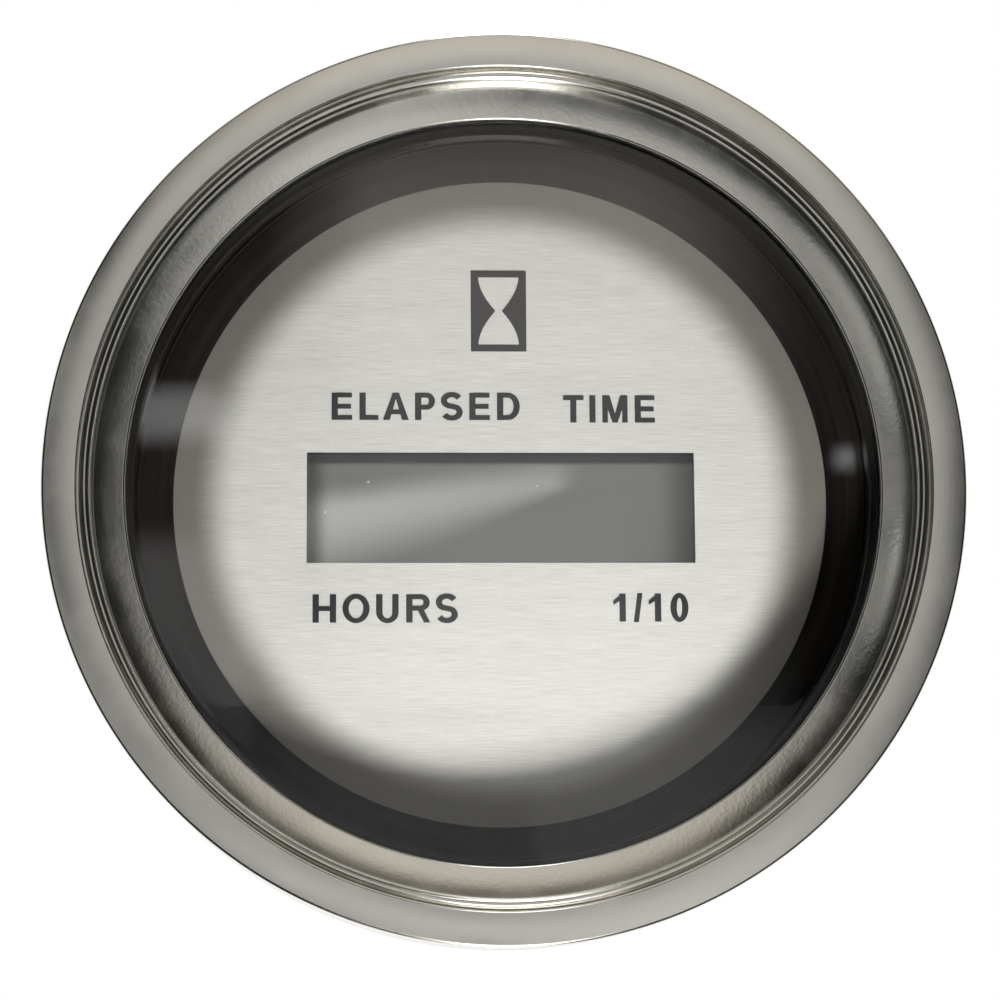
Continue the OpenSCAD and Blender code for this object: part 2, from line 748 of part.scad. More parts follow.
// Glass bulb with a flat wedge base
module lamp_bulb() {
    color("#e9edee", 0.5) stand() translate([0, lamp_y, 0]) {
        pin(bulb_r, bulb_seat_z, bulb_seat_z + bulb_l - bulb_r);
        translate([0, 0, bulb_seat_z + bulb_l - bulb_r]) sphere(r = bulb_r);
        rotate([0, 0, lamp_turn])
            block(wedge_size[0], wedge_size[1], bulb_seat_z - wedge_size[2], bulb_seat_z + wedge_size[1]);
    }
}

// Blade that feeds the lamp
module lamp_blade() {
    color("#c9a64b") stand() translate([0, lamp_y, 0]) rotate([0, 0, lamp_turn])
        block(lamp_blade_w, blade_t, grip_end_z - lamp_blade_l, grip_z);
}

case();
panel_gasket();
bezel();
lens();
lens_gasket();
dial_ring();
dial_plate();
display_frame();
lcd_cell();
lcd_diffuser();
zebra_strips();
frame_screws();
circuit_board();
controller_cap();
memory_chip();
quartz_crystal();
filter_capacitor();
rectifier_diode();
chip_resistors();
supply_blade();
ground_blade();
mounting_studs();
clamp_bracket();
spring_washers();
thumb_nut_left();
thumb_nut_right();
lamp_holder();
lamp_seal();
lamp_bulb();
lamp_blade();
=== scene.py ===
import json
import math

import bmesh
import bpy
import numpy as np
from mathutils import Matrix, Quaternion, Vector


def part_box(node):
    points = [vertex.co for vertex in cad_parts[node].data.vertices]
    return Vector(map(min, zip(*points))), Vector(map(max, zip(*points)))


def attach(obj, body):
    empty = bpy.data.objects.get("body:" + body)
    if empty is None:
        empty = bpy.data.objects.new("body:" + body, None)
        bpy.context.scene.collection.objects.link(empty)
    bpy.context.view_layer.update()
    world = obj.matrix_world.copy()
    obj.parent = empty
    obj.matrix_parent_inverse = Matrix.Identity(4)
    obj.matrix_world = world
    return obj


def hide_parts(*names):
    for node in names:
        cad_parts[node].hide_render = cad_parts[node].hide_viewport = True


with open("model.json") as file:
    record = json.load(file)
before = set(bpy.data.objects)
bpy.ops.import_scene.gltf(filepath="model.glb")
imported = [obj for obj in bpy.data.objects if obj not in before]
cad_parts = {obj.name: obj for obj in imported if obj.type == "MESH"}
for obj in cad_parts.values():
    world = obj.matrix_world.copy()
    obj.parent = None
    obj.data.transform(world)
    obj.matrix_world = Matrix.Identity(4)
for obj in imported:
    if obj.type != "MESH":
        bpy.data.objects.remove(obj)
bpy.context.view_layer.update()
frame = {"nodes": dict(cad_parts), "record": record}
nodes = frame["nodes"]
slotOf = {part["node"]: part["material_slot"] for part in frame["record"]["subparts"]}
mm = 0.001  # all sizes below are in mm: x right, z up, f forward out of the dial (world y = -f)


# mesh tools

def spread(node):  # a solid's reach about the meter's axis: radii and forward heights
    co = np.array([v.co for v in nodes[node].data.vertices]) / mm
    radius = np.hypot(co[:, 0], co[:, 2])
    return {"rIn": radius.min(), "rOut": radius.max(), "front": -co[:, 1].min(), "back": -co[:, 1].max()}


def middle(node):  # a solid's middle across the axis, x and z
    low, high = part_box(node)
    return np.array([low[0] + high[0], low[2] + high[2]]) / 2 / mm


def gridFaces(rows, cols, closeRows=False, closeCols=False):  # quads between neighbours on a grid of points
    i, j = np.meshgrid(np.arange(rows - (not closeRows)), np.arange(cols - (not closeCols)), indexing="ij")
    iNext, jNext = (i + 1) % rows, (j + 1) % cols
    corners = [i * cols + j, iNext * cols + j, iNext * cols + jNext, i * cols + jNext]
    return np.stack(corners, -1).reshape(-1, 4)


def placed(x, f, z):  # face-on mm to world metres
    return np.stack(np.broadcast_arrays(x, -f, z), -1).reshape(-1, 3) * mm


def spot(place):  # one such place as a vector
    return Vector(placed(*np.array(place, float))[0])


def turned(profile, steps, centre=(0, 0)):  # every (radius, forward) point circles the axis through centre
    angle = np.linspace(0, 2 * np.pi, steps, endpoint=False)[:, None]
    x = centre[0] + profile[:, 0] * np.cos(angle)
    z = centre[1] + profile[:, 0] * np.sin(angle)
    return placed(x, profile[:, 1] + 0 * angle, z), gridFaces(steps, len(profile), True, True)


def arc(r, f, radius, start, end, count=8):  # points on a circle about (r, f) between two angles in degrees
    angle = np.radians(np.linspace(start, end, count))
    return np.stack([r + radius * np.cos(angle), f + radius * np.sin(angle)], -1)


def line(*points):
    return np.array(points, float)


def smoothed(mesh, sharp):  # smooth shading up to the sharp angle
    mesh.shade_smooth()
    mesh.set_sharp_from_angle(angle=math.radians(sharp))


def cleaned(mesh):  # poles and seams closed, faces outwards
    tool = bmesh.new()
    tool.from_mesh(mesh)
    bmesh.ops.remove_doubles(tool, verts=tool.verts, dist=1e-7)
    bmesh.ops.recalc_face_normals(tool, faces=tool.faces)
    tool.to_mesh(mesh)
    tool.free()


def newPiece(name, surfaces, finish, body="meter", replaced=None, sharp=35):  # closed surfaces in one mesh
    mesh = bpy.data.meshes.new(name)
    starts = np.cumsum([0] + [len(points) for points, faces in surfaces])
    points = np.concatenate([points for points, faces in surfaces])
    faces = np.concatenate([faces + start for (points, faces), start in zip(surfaces, starts)])
    mesh.from_pydata(points.tolist(), [], faces.tolist())
    cleaned(mesh)
    smoothed(mesh, sharp)
    seated(name, mesh, finish, body, replaced)


def seated(name, mesh, finish, body, replaced):  # object at the origin, riding its body
    piece = bpy.data.objects.new(name, mesh)
    bpy.context.scene.collection.objects.link(piece)
    mesh.materials.clear()
    mesh.materials.append(finish)
    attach(piece, body)
    if replaced:
        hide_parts(replaced)
    return piece


def softened(name, node, finish, body, edge, sharp=35):  # a solid's own form with its edges rounded
    mesh = nodes[node].data.copy()
    mesh.name = name
    tool = bmesh.new()
    tool.from_mesh(mesh)
    bmesh.ops.remove_doubles(tool, verts=tool.verts, dist=2e-6)
    bmesh.ops.dissolve_limit(tool, angle_limit=math.radians(1), verts=tool.verts, edges=tool.edges)
    tool.to_mesh(mesh)
    tool.free()
    smoothed(mesh, sharp)
    bevel = seated(name, mesh, finish, body, node).modifiers.new("edges", "BEVEL")
    bevel.width = edge * mm
    bevel.segments = 3
    bevel.limit_method = "ANGLE"
    bevel.angle_limit = math.radians(sharp)
    bevel.harden_normals = True


# shader tools

class Sock:  # a socket in a material; sums and products of these add Math nodes
    def __init__(self, tree, socket):
        self.tree = tree
        self.socket = socket

    def node(self, kind, settings, inputs, out=0):  # any node: settings, then its sockets' values or links
        made = self.tree.nodes.new(kind)
        for key, value in settings.items():
            setattr(made, key, value)
        for key, value in inputs.items():
            if isinstance(value, Sock):
                self.tree.links.new(value.socket, made.inputs[key])
            else:
                made.inputs[key].default_value = value
        return Sock(self.tree, made.outputs[out])

    def maths(self, operation, a, b):
        return self.node("ShaderNodeMath", {"operation": operation}, {0: a, 1: b})

    def __add__(self, other):
        return self.maths("ADD", self, other)

    def __radd__(self, other):
        return self.maths("ADD", other, self)

    def __sub__(self, other):
        return self.maths("SUBTRACT", self, other)

    def __rsub__(self, other):
        return self.maths("SUBTRACT", other, self)

    def __mul__(self, other):
        return self.maths("MULTIPLY", self, other)

    def __rmul__(self, other):
        return self.maths("MULTIPLY", other, self)

    def __truediv__(self, other):
        return self.maths("DIVIDE", self, other)

    def __pow__(self, other):
        return self.maths("POWER", self, other)

    def axis(self, name):  # one of a vector's numbers
        return self.node("ShaderNodeSeparateXYZ", {}, {0: self}, "XYZ".index(name))

    def unsigned(self):
        return (self ** 2) ** 0.5

    def fromAxis(self):  # distance from the meter's axis
        return (self.axis("X") ** 2 + self.axis("Z") ** 2) ** 0.5

    def rings(self, scale, detail):  # noise that changes only with this distance
        return self.node("ShaderNodeCombineXYZ", {}, {0: self * scale}).noise(1, detail)

    def stretch(self, x, y, z):  # a pattern's repeats per metre along each axis
        return self.node("ShaderNodeMapping", {}, {"Vector": self, "Scale": (x, y, z)})

    def noise(self, scale, detail=2, roughness=0.5):
        return self.node("ShaderNodeTexNoise", {}, {"Vector": self, "Scale": scale, "Detail": detail,
                                                    "Roughness": roughness})

    def band(self, low, high):  # 0 below low, 1 above high
        return self.node("ShaderNodeMapRange", {"interpolation_type": "SMOOTHSTEP"},
                         {"Value": self, "From Min": low, "From Max": high})

    def tint(self, low, high):  # from one colour to the other
        return self.node("ShaderNodeMix", {"data_type": "RGBA"}, {0: self, 6: low, 7: high}, 2)

    def bump(self, strength, depth):
        return self.node("ShaderNodeBump", {}, {"Strength": strength, "Distance": depth * mm, "Height": self})

    def into(self, shader, name):
        self.tree.links.new(self.socket, shader.inputs[name])


def colour(red, green, blue):  # levels from 0 to 255 as they show on screen
    shade = np.array([red, green, blue]) / 255
    return (*np.where(shade <= 0.04045, shade / 12.92, ((shade + 0.055) / 1.055) ** 2.4), 1)


def grey(level, warm=0):  # warmer or cooler by a few levels
    return colour(level + warm, level, level - warm)


def newFinish(name, **sockets):  # a Principled material, its shader and its Object coordinates
    material = bpy.data.materials.new(name)
    material.use_nodes = True
    tree = material.node_tree
    shader = tree.nodes["Principled BSDF"]
    for key, value in sockets.items():
        shader.inputs[key.replace("_", " ")].default_value = value
    return material, shader, Sock(tree, tree.nodes.new("ShaderNodeTexCoord").outputs["Object"])


# finishes: repeats are per metre, places in mm, colours as on screen

bezelLook = {"rings": 9000, "haze": 220, "grain": 3200, "low": (227, 225, 217), "high": (239, 236, 228),
             "rough": 0.14, "roughHaze": 0.08, "dishFrom": 27.1, "dishTo": 27.4, "faceGrain": 0.4,
             "dishGrain": 2.2}


def bezelFinish(look):  # bright chrome: fine turned rings on the face, an uneven dish
    material, shader, place = newFinish("bezelPlate", Metallic=1)
    radius = place.fromAxis()
    inDish = 1 - radius.band(look["dishFrom"] * mm, look["dishTo"] * mm)
    haze = place.noise(look["haze"], 4, 0.6)
    haze.band(0.35, 0.75).tint(colour(*look["low"]), colour(*look["high"])).into(shader, "Base Color")
    (look["rough"] + look["roughHaze"] * haze.band(0.3, 0.8)).into(shader, "Roughness")
    grain = place.noise(look["grain"], 3, 0.6) * (look["faceGrain"] + look["dishGrain"] * inDish)
    (radius.rings(look["rings"], 1) * 0.5 + grain).bump(0.3, 0.006).into(shader, "Normal")
    return material


def lensFinish():  # clear glass that lets the lamps through
    material, shader, place = newFinish("lensGlass", Base_Color=grey(250), Roughness=0.0, IOR=1.45,
                                        Transmission_Weight=1)
    through = place.node("ShaderNodeBsdfTransparent", {}, {})
    path = place.node("ShaderNodeLightPath", {}, {}, "Is Shadow Ray")
    glass = Sock(place.tree, shader.outputs[0])
    mixed = place.node("ShaderNodeMixShader", {}, {0: path, 1: glass, 2: through})
    mixed.into(material.node_tree.nodes["Material Output"], "Surface")
    return material


ringLook = {"rings": 3200, "cloud": 500, "low": 20, "high": 31, "warm": 2, "rough": 0.45, "roughCloud": 0.18}


def ringFinish(look):  # black satin moulding with faint turned lines
    material, shader, place = newFinish("ringBlack", Specular_IOR_Level=0.05)
    rings = place.fromAxis().rings(look["rings"], 2)
    low, high = grey(look["low"], look["warm"]), grey(look["high"], look["warm"])
    rings.band(0.3, 0.8).tint(low, high).into(shader, "Base Color")
    (look["rough"] + look["roughCloud"] * place.noise(look["cloud"], 3)).into(shader, "Roughness")
    rings.bump(0.05, 0.006).into(shader, "Normal")
    return material


dialLook = {"streaks": (420, 1, 15000), "broad": (60, 1, 900), "paintedGlintSpecks": (4200, 1, 7000),
            "low": (186, 185, 179), "high": (228, 227, 221),
            # painted shade at the dial's rim: its colour, how strong it is and how far in it reaches
            "paintedRimShade": (80, 75, 68), "rimShadeShare": 0.84, "rimShadeFrom": 17.9, "rimShadeTo": 21.1}


def dialFinish(look):  # silver plate brushed from left to right, with bright specks painted in for glints and a painted shade darkening its rim
    material, shader, place = newFinish("dialBrushed", Metallic=0.3)
    streaks = place.stretch(*look["streaks"]).noise(1, 3, 0.65)
    broad = place.stretch(*look["broad"]).noise(1, 2)
    # bright specks painted into the colour stand in for glints on the metal; they also raise the bump
    paintedGlintSpecks = place.stretch(*look["paintedGlintSpecks"]).noise(1, 1).band(0.66, 0.78)
    brushed = streaks.band(0.2, 0.8) * 0.6 + broad.band(0.2, 0.8) * 0.15 + paintedGlintSpecks * 0.5
    silver = brushed.tint(colour(*look["low"]), colour(*look["high"]))
    # painted shade: the plate is coloured darker towards its rim, standing in for the shade of the deep black
    # ring round it
    paintedRimShade = look["rimShadeShare"] * place.fromAxis().band(look["rimShadeFrom"] * mm, look["rimShadeTo"] * mm)
    paintedRimShade.tint(silver, colour(*look["paintedRimShade"])).into(shader, "Base Color")
    (0.50 - 0.12 * streaks).into(shader, "Roughness")
    (streaks + paintedGlintSpecks * 0.4).bump(0.35, 0.003).into(shader, "Normal")
    return material


displayLook = {
    "shade": 0.165, "low": (4, 4, 4), "high": (208, 210, 204), "dust": 420, "speck": (0.02, 0.045),
    "lineSlope": 0.14, "lineHeight": 0.75, "wisp": 0.8, "above": 2.3,  # painted reflection: a paler wedge along a climbing line
    "below": 2.2, "belowSlope": 0.3, "sheen": 0.20, "sheenSlope": 0.008, "sheenEnd": (3.2, 5.6),
    "leftEdge": (-13.0, -11.6), "rightEdge": (10.4, 13.2), "topEdge": (2.45, 2.85),  # painted shade along the window's edges: darker to the left, right and top
}


def displayFinish(look):  # blank display: grey polariser under glass, with a painted paler wedge of reflection, painted shade along its edges and a little dust
    material, shader, place = newFinish("displayGrey", Coat_Weight=0.5, Coat_Roughness=0.08, Roughness=0.42)
    across, up = place.axis("X") / mm, place.axis("Z") / mm
    wisp = place.noise(140, 3) - 0.5
    off = up - look["lineSlope"] * across - look["lineHeight"] + look["wisp"] * wisp  # height above the line
    under = (0 - off) / (look["below"] - look["belowSlope"] * across)
    # painted reflection: the paler wedge stands in for a sheen of light on the glass
    sheen = (1 - off.band(0, look["above"])) * (1 - under.band(0, 1))
    sheen = sheen * (look["sheen"] - look["sheenSlope"] * across) * (1 - across.band(*look["sheenEnd"]))
    # painted shade: darker at the top where the window's rim would shade the glass, at the right where its
    # dark wall shows and reflects, and towards the left
    paintedEdgeShade = (0.3 + 0.7 * across.band(*look["leftEdge"])) * (1 - 0.65 * across.band(*look["rightEdge"]))
    paintedEdgeShade = paintedEdgeShade * (1 - 0.88 * up.band(*look["topEdge"]))
    shade = (look["shade"] + sheen) * paintedEdgeShade
    dust = place.node("ShaderNodeTexVoronoi", {"feature": "F1"}, {"Vector": place, "Scale": look["dust"]},
                      "Distance")
    speck = 1 - dust.band(*look["speck"])
    (shade + 0.5 * speck).tint(colour(*look["low"]), colour(*look["high"])).into(shader, "Base Color")
    place.noise(9000, 1).bump(0.05, 0.002).into(shader, "Normal")
    return material


def inkFinish():  # printed black
    material, shader, place = newFinish("printBlack", Specular_IOR_Level=0.35)
    place.noise(5000, 2).tint(grey(24), grey(38)).into(shader, "Base Color")
    (0.45 + 0.15 * place.noise(3000, 2)).into(shader, "Roughness")
    return material


def plasticFinish(name, low, high, grain, depth, rough):  # moulded plastic with a spark-etched grain
    material, shader, place = newFinish(name, Specular_IOR_Level=0.45)
    cloud = place.noise(120, 4, 0.6)
    texture = place.noise(grain, 3, 0.6)
    cloud.band(0.3, 0.75).tint(low, high).into(shader, "Base Color")
    (rough + 0.15 * (cloud - 0.5) + 0.2 * (texture - 0.5)).into(shader, "Roughness")
    texture.bump(0.5, depth).into(shader, "Normal")
    return material


def metalFinish(name, low, high, rough, grain=(900, 900, 900)):  # plated or bare metal with fine streaks
    material, shader, place = newFinish(name, Metallic=1)
    cloud = place.noise(260, 4, 0.65)
    streaks = place.stretch(*grain).noise(1, 3, 0.6)
    cloud.band(0.32, 0.72).tint(low, high).into(shader, "Base Color")
    (rough + 0.22 * (cloud - 0.5) + 0.14 * (streaks - 0.5)).into(shader, "Roughness")
    (streaks * 0.7 + cloud * 0.3).bump(0.35, 0.004).into(shader, "Normal")
    return material


def boardFinish():  # green resist over copper tracks
    material, shader, place = newFinish("boardGreen", Roughness=0.3, Coat_Weight=0.4)
    cells = place.node("ShaderNodeTexVoronoi", {"feature": "DISTANCE_TO_EDGE"},
                       {"Vector": place, "Scale": 380})
    cells.band(0.06, 0.1).tint(colour(46, 116, 72), colour(22, 74, 44)).into(shader, "Base Color")
    cells.band(0.04, 0.12).bump(0.4, 0.03).into(shader, "Normal")
    return material


def clearFinish(name, shade):  # thin clear glass
    material, shader, place = newFinish(name, Base_Color=shade, Roughness=0.02, IOR=1.45,
                                        Transmission_Weight=1)
    place.noise(300, 2).bump(0.05, 0.01).into(shader, "Normal")
    return material


finishes = {
    "case_plastic": plasticFinish("caseBlack", grey(25), grey(36), 5200, 0.02, 0.52),
    "rubber": plasticFinish("sealRubber", grey(30), grey(44), 7000, 0.01, 0.72),
    "bezel_metal": bezelFinish(bezelLook),
    "lens_glass": lensFinish(),
    "ring_plastic": ringFinish(ringLook),
    "dial_metal": dialFinish(dialLook),
    "frame_plastic": plasticFinish("frameBlack", grey(20), grey(28), 4000, 0.01, 0.5),
    "lcd_glass": displayFinish(displayLook),
    "diffuser_plastic": plasticFinish("diffuserWhite", grey(226, 3), grey(238, 3), 900, 0.004, 0.4),
    "contact_rubber": plasticFinish("contactStrip", colour(170, 152, 122), colour(196, 180, 150), 6000, 0.01,
                                    0.6),
    "plated_steel": metalFinish("zincPlate", grey(176, 2), grey(206, 1), 0.30, (700, 700, 2600)),
    "board_laminate": boardFinish(),
    "chip_resin": plasticFinish("chipBlack", grey(22), grey(34), 6000, 0.006, 0.48),
    "can_metal": metalFinish("canBright", grey(198), grey(222), 0.2),
    "capacitor_sleeve": plasticFinish("sleeveBlue", colour(26, 42, 84), colour(38, 56, 104), 1500, 0.003,
                                      0.3),
    "brass": metalFinish("brassBare", colour(186, 148, 72), colour(219, 186, 108), 0.28, (900, 2600, 900)),
    "holder_plastic": plasticFinish("holderBlack", grey(27), grey(38), 4200, 0.014, 0.46),
    "bulb_glass": clearFinish("bulbClear", grey(248)),
}
for name in ("dial_plate", "display_frame"):
    nodes[name].visible_shadow = False  # the low lamp still reaches the display in its window
ink = inkFinish()
for name, solid in nodes.items():
    solid.data.materials.clear()
    solid.data.materials.append(finishes[slotOf[name]])
print("finishes:", len(finishes) + 1)


# bezel: flat face, bead in a groove, shallow inner cone, lip over the glass, rear edge rolled under

bezelForm = {
    "edge": 0.2, "faceWidth": 2.2, "sheet": 0.6, "slack": 0.1, "fold": 0.12, "grooveDepth": 0.8, "bead": 0.38,
    "beadGap": 0.08, "ridge": 0.05, "coneSlope": 0.17, "coneTurn": 0.045, "lipDrop": 2.5, "lipFold": 0.14,
    "hemWidth": 2.3, "hemFront": 1.0, "steps": 288,
}


def bezelProfile(form, reach):  # the drawn section, from the rolled edge round the front to the lip and back
    outer, front, back, opening = reach["rOut"], reach["front"], reach["back"], reach["rIn"]
    edge, sheet, bead = form["edge"], form["sheet"], form["bead"]
    fold, lipFold = form["fold"], form["lipFold"]
    faceIn = outer - form["faceWidth"]
    wall = faceIn - fold
    groove = front - form["grooveDepth"]
    beadAt = wall - form["beadGap"] - bead
    ridge = beadAt - bead - form["beadGap"]
    lip = front - form["lipDrop"]
    hem = outer - form["hemWidth"]
    tip = form["ridge"]
    up = np.linspace(1, 0, 40)  # from the ridge down a shallow cone, steeper at its rim, to the lip
    wide = ridge - opening - lipFold
    climb = form["coneSlope"] * up + form["coneTurn"] * up ** 3
    dish = np.stack([opening + lipFold + wide * up, lip + wide * climb], -1)
    ridgeTop = dish[0, 1]
    faceBack = front - sheet - form["slack"]
    return np.concatenate([
        line((hem, form["hemFront"]), (hem, back)),
        arc(outer - edge, back + edge, edge, -90, 0),
        line((outer, (front + back) / 2)),
        arc(outer - edge, front - edge, edge, 0, 90, 10),
        line(((outer - edge + faceIn) / 2, front)),
        arc(faceIn, front - fold, fold, 90, 180, 10),
        line((wall, groove)),
        arc(beadAt, groove, bead, 0, 180, 32),
        line((ridge + tip, groove)),
        arc(ridge, ridgeTop - tip, tip, 0, 110, 6),
        dish[1:],
        arc(opening + lipFold, lip - lipFold, lipFold, 90, 180, 10)[1:],
        line((opening, lip - sheet), (opening + 2 * sheet, lip - sheet), (ridge, ridgeTop - sheet),
             (ridge + sheet, ridgeTop - sheet), (wall + sheet, groove - sheet), (wall + sheet, faceBack),
             (outer - sheet, faceBack), (outer - sheet, form["hemFront"])),
    ])


bezelReach = spread("bezel")
newPiece("bezelRing", [turned(bezelProfile(bezelForm, bezelReach), bezelForm["steps"])],
         finishes["bezel_metal"], replaced="bezel", sharp=40)
print("bezel:", round(2 * bezelReach["rOut"], 2), "mm across")


# lens: domed glass with a flat rim under the lip

lensForm = {"rise": 1.2, "thick": 2.0, "clear": 0.2, "corner": 0.15, "steps": 192, "rings": 36}


def lensProfile(form, reach):  # a cap of a large sphere over a ring, with the same cap hollowed out behind
    rim, back = reach["rOut"], reach["back"]
    edge = bezelReach["rIn"] - form["clear"]
    ball = (edge ** 2 + form["rise"] ** 2) / (2 * form["rise"])
    r = np.linspace(0, edge, form["rings"])
    cap = np.sqrt(ball ** 2 - r ** 2) - ball + form["rise"]
    front = np.stack([r, back + form["thick"] + cap], -1)
    rear = np.stack([r, back + cap], -1)[::-1]
    corner = form["corner"]
    return np.concatenate([
        front, arc(rim - corner, back + form["thick"] - corner, corner, 90, 0, 4),
        arc(rim - corner, back + corner, corner, 0, -90, 4), rear])


newPiece("lensDome", [turned(lensProfile(lensForm, spread("lens")), lensForm["steps"])],
         finishes["lens_glass"], replaced="lens", sharp=30)
print("lens: domed by", lensForm["rise"], "mm")


# dial ring: black funnel with a rounded ledge half way down

ringForm = {"wall": 0.6, "ledgeHeight": 2.1, "ledgeIn": 1.0, "ledgeFall": 0.4, "round": 0.14, "foot": 0.4,
            "wallLean": 0.2, "hollow": 1.3, "nose": 0.05, "footLean": 0.2, "tip": 0.1, "steps": 192}


def ringProfile(form, reach):  # wall at the glass, ledge, then a slope down to the seen edge of the dial
    outer, seen, top, dial = reach["rOut"], reach["rIn"], reach["front"], reach["back"]
    ledge = dial + form["ledgeHeight"]
    soft = form["round"]
    wall = outer - form["wall"]
    inner = seen + form["ledgeIn"]
    low = ledge - form["ledgeFall"]
    lean, tip = form["wallLean"], form["tip"]
    return np.concatenate([
        line((outer, dial), (outer, top)),
        arc(wall + soft, top - soft, soft, 90, 180, 6),
        line((wall - lean + soft, ledge + soft)),
        arc(wall - lean - soft, ledge + soft * form["hollow"], soft, 0, -90, 6),
        arc(inner + soft, low - soft + form["nose"], soft, 80, 150, 6),
        line((seen + form["footLean"], dial + form["foot"])),
        arc(seen + tip, dial + tip, tip, 150, 180, 3),
        line((seen, dial)),
    ])


newPiece("dialFunnel", [turned(ringProfile(ringForm, spread("dial_ring")), ringForm["steps"])],
         finishes["ring_plastic"], replaced="dial_ring", sharp=35)
print("dial ring: ledge", ringForm["ledgeHeight"], "mm above the dial")


# legends and the hourglass sign, printed on the dial

dialFront = spread("dial_plate")["front"]
legendForm = {
    "thick": 0.02, "lift": 0.004, "layer": 0.001, "stem": 0.225, "bar": 0.175, "overshoot": 0.02,
    "words": [  # letters, left edge, right edge, foot and head of the capitals
        ("ELAPSED", -11.57, 1.32, 5.53, 7.42),
        ("TIME", 4.29, 10.61, 5.37, 7.27),
        ("HOURS", -12.83, -2.99, -8.43, -6.50),
        ("1/10", 7.59, 12.71, -8.38, -6.47),
    ],
}


def block(left, foot, right, head):  # an upright or level stroke: its two edges, point by point
    return np.array([[(left, foot), (right, foot)], [(left, head), (right, head)]], float)


def strip(*pairs):  # a stroke between two edges given as pairs of points
    return np.array(pairs, float)


def bend(x, y, outer, inner, start, end, run=None, count=24):  # a stroke between two ellipses
    angle = np.radians(np.linspace(start, end, count))[:, None]
    way = np.concatenate([np.cos(angle), np.sin(angle)], 1)
    stroke = np.stack([(x, y) + way * outer, (x, y) + way * inner], 1)
    if run is None:
        return stroke
    # run: both ends go on straight, to that value of x (0) or of y (1)
    first, last = stroke[:1].copy(), stroke[-1:].copy()
    first[..., run[0]], last[..., run[0]] = run[1], run[1]
    return np.concatenate([first, stroke, last])


def snake(width, form, count=20):  # an S: one ellipse run over the top and one under the foot, joined aslant
    tall = 0.5 + form["overshoot"] - form["bar"] / 2
    wide = (width - form["stem"]) / 2
    over, under = np.radians(np.linspace(25, 238, count)), np.radians(np.linspace(58, -155, count))
    spine = np.concatenate([
        np.stack([width / 2 + wide * np.cos(over), 0.5 + tall / 2 * (1 + np.sin(over))], -1),
        np.stack([width / 2 + wide * np.cos(under), 0.5 - tall / 2 * (1 - np.sin(under))], -1)])
    along = np.gradient(spine, axis=0)
    along /= np.linalg.norm(along, axis=1, keepdims=True)
    off = np.stack([-along[:, 1], along[:, 0]], -1)
    half = (form["bar"] + (form["stem"] - form["bar"]) * np.abs(off[:, :1])) / 2
    return np.stack([spine + off * half, spine - off * half], 1)


def letterShapes(form):  # each sign's width, room before, room after and strokes, in heights of a capital
    s, b, o = form["stem"], form["bar"], form["overshoot"]
    stem = block(0, 0, s, 1)
    return {
        "E": (0.74, 0.137, 0.126, [
            stem, block(s / 2, 0, 0.74, b), block(s / 2, 0.5 - b / 2, 0.70, 0.5 + b / 2),
            block(s / 2, 1 - b, 0.73, 1)]),
        "L": (0.68, 0.137, 0.074, [stem, block(s / 2, 0, 0.68, b)]),
        "A": (0.93, 0.09, 0.09, [
            strip(((0, 0), (1.1 * s, 0)), ((0.275, 0.78), (0.465, 0.78)), ((0.35, 1), (0.465, 1))),
            strip(((0.93, 0), (0.93 - 1.1 * s, 0)), ((0.655, 0.78), (0.465, 0.78)), ((0.58, 1), (0.465, 1))),
            block(0.2, 0.21, 0.73, 0.21 + b)]),
        "P": (0.72, 0.137, 0.105, [
            stem, bend(0.42, 0.69, (0.30, 0.31), (0.30 - s, 0.31 - b), 90, -90, (0, s / 2))]),
        "S": (0.79, 0.105, 0.10, [snake(0.79, form)]),
        "D": (0.82, 0.137, 0.105, [
            stem, bend(0.39, 0.5, (0.43, 0.5), (0.43 - s, 0.5 - b), 90, -90, (0, s / 2))]),
        "T": (0.76, 0.08, 0.08, [block(0, 1 - b, 0.76, 1), block(0.38 - s / 2, 0, 0.38 + s / 2, 1 - b / 2)]),
        "I": (s, 0.13, 0.13, [stem]),
        "M": (0.93, 0.12, 0.126, [
            block(0, 0, s * 0.9, 1), block(0.93 - s * 0.9, 0, 0.93, 1),
            strip(((0.02, 1), (0.27, 1)), ((0.37, 0), (0.56, 0))),
            strip(((0.66, 1), (0.91, 1)), ((0.37, 0), (0.56, 0)))]),
        "H": (0.84, 0.137, 0.126, [
            stem, block(0.84 - s, 0, 0.84, 1), block(s / 2, 0.5 - b / 2, 0.84 - s / 2, 0.5 + b / 2)]),
        "O": (0.97, 0.10, 0.105, [
            bend(0.485, 0.5, (0.485, 0.5 + o), (0.485 - s, 0.5 + o - b), 0, 360, count=49)]),
        "U": (0.80, 0.13, 0.137, [
            bend(0.40, 0.36, (0.40, 0.36 + o), (0.40 - s, 0.36 + o - b), 180, 360, (1, 1))]),
        "R": (0.86, 0.137, 0.09, [
            stem, bend(0.52, 0.71, (0.32, 0.29), (0.32 - s, 0.29 - b), 90, -90, (0, s / 2)),
            strip(((0.40, 0.45), (0.62, 0.47)), ((0.63, 0), (0.86, 0)))]),
        "1": (0.44, 0.15, 0.15, [
            block(0.44 - s, 0, 0.44, 1), strip(((0.30, 1), (0.30, 0.78)), ((0, 0.76), (0, 0.60)))]),
        "/": (0.32, 0.13, 0.07, [
            strip(((0, -0.02), (s * 0.8, -0.02)), ((0.32 - s * 0.8, 1.02), (0.32, 1.02)))]),
        "0": (0.64, 0.18, 0.15, [
            bend(0.32, 0.5, (0.32, 0.5 + o), (0.32 - s, 0.5 + o - b), 0, 360, count=49)]),
    }


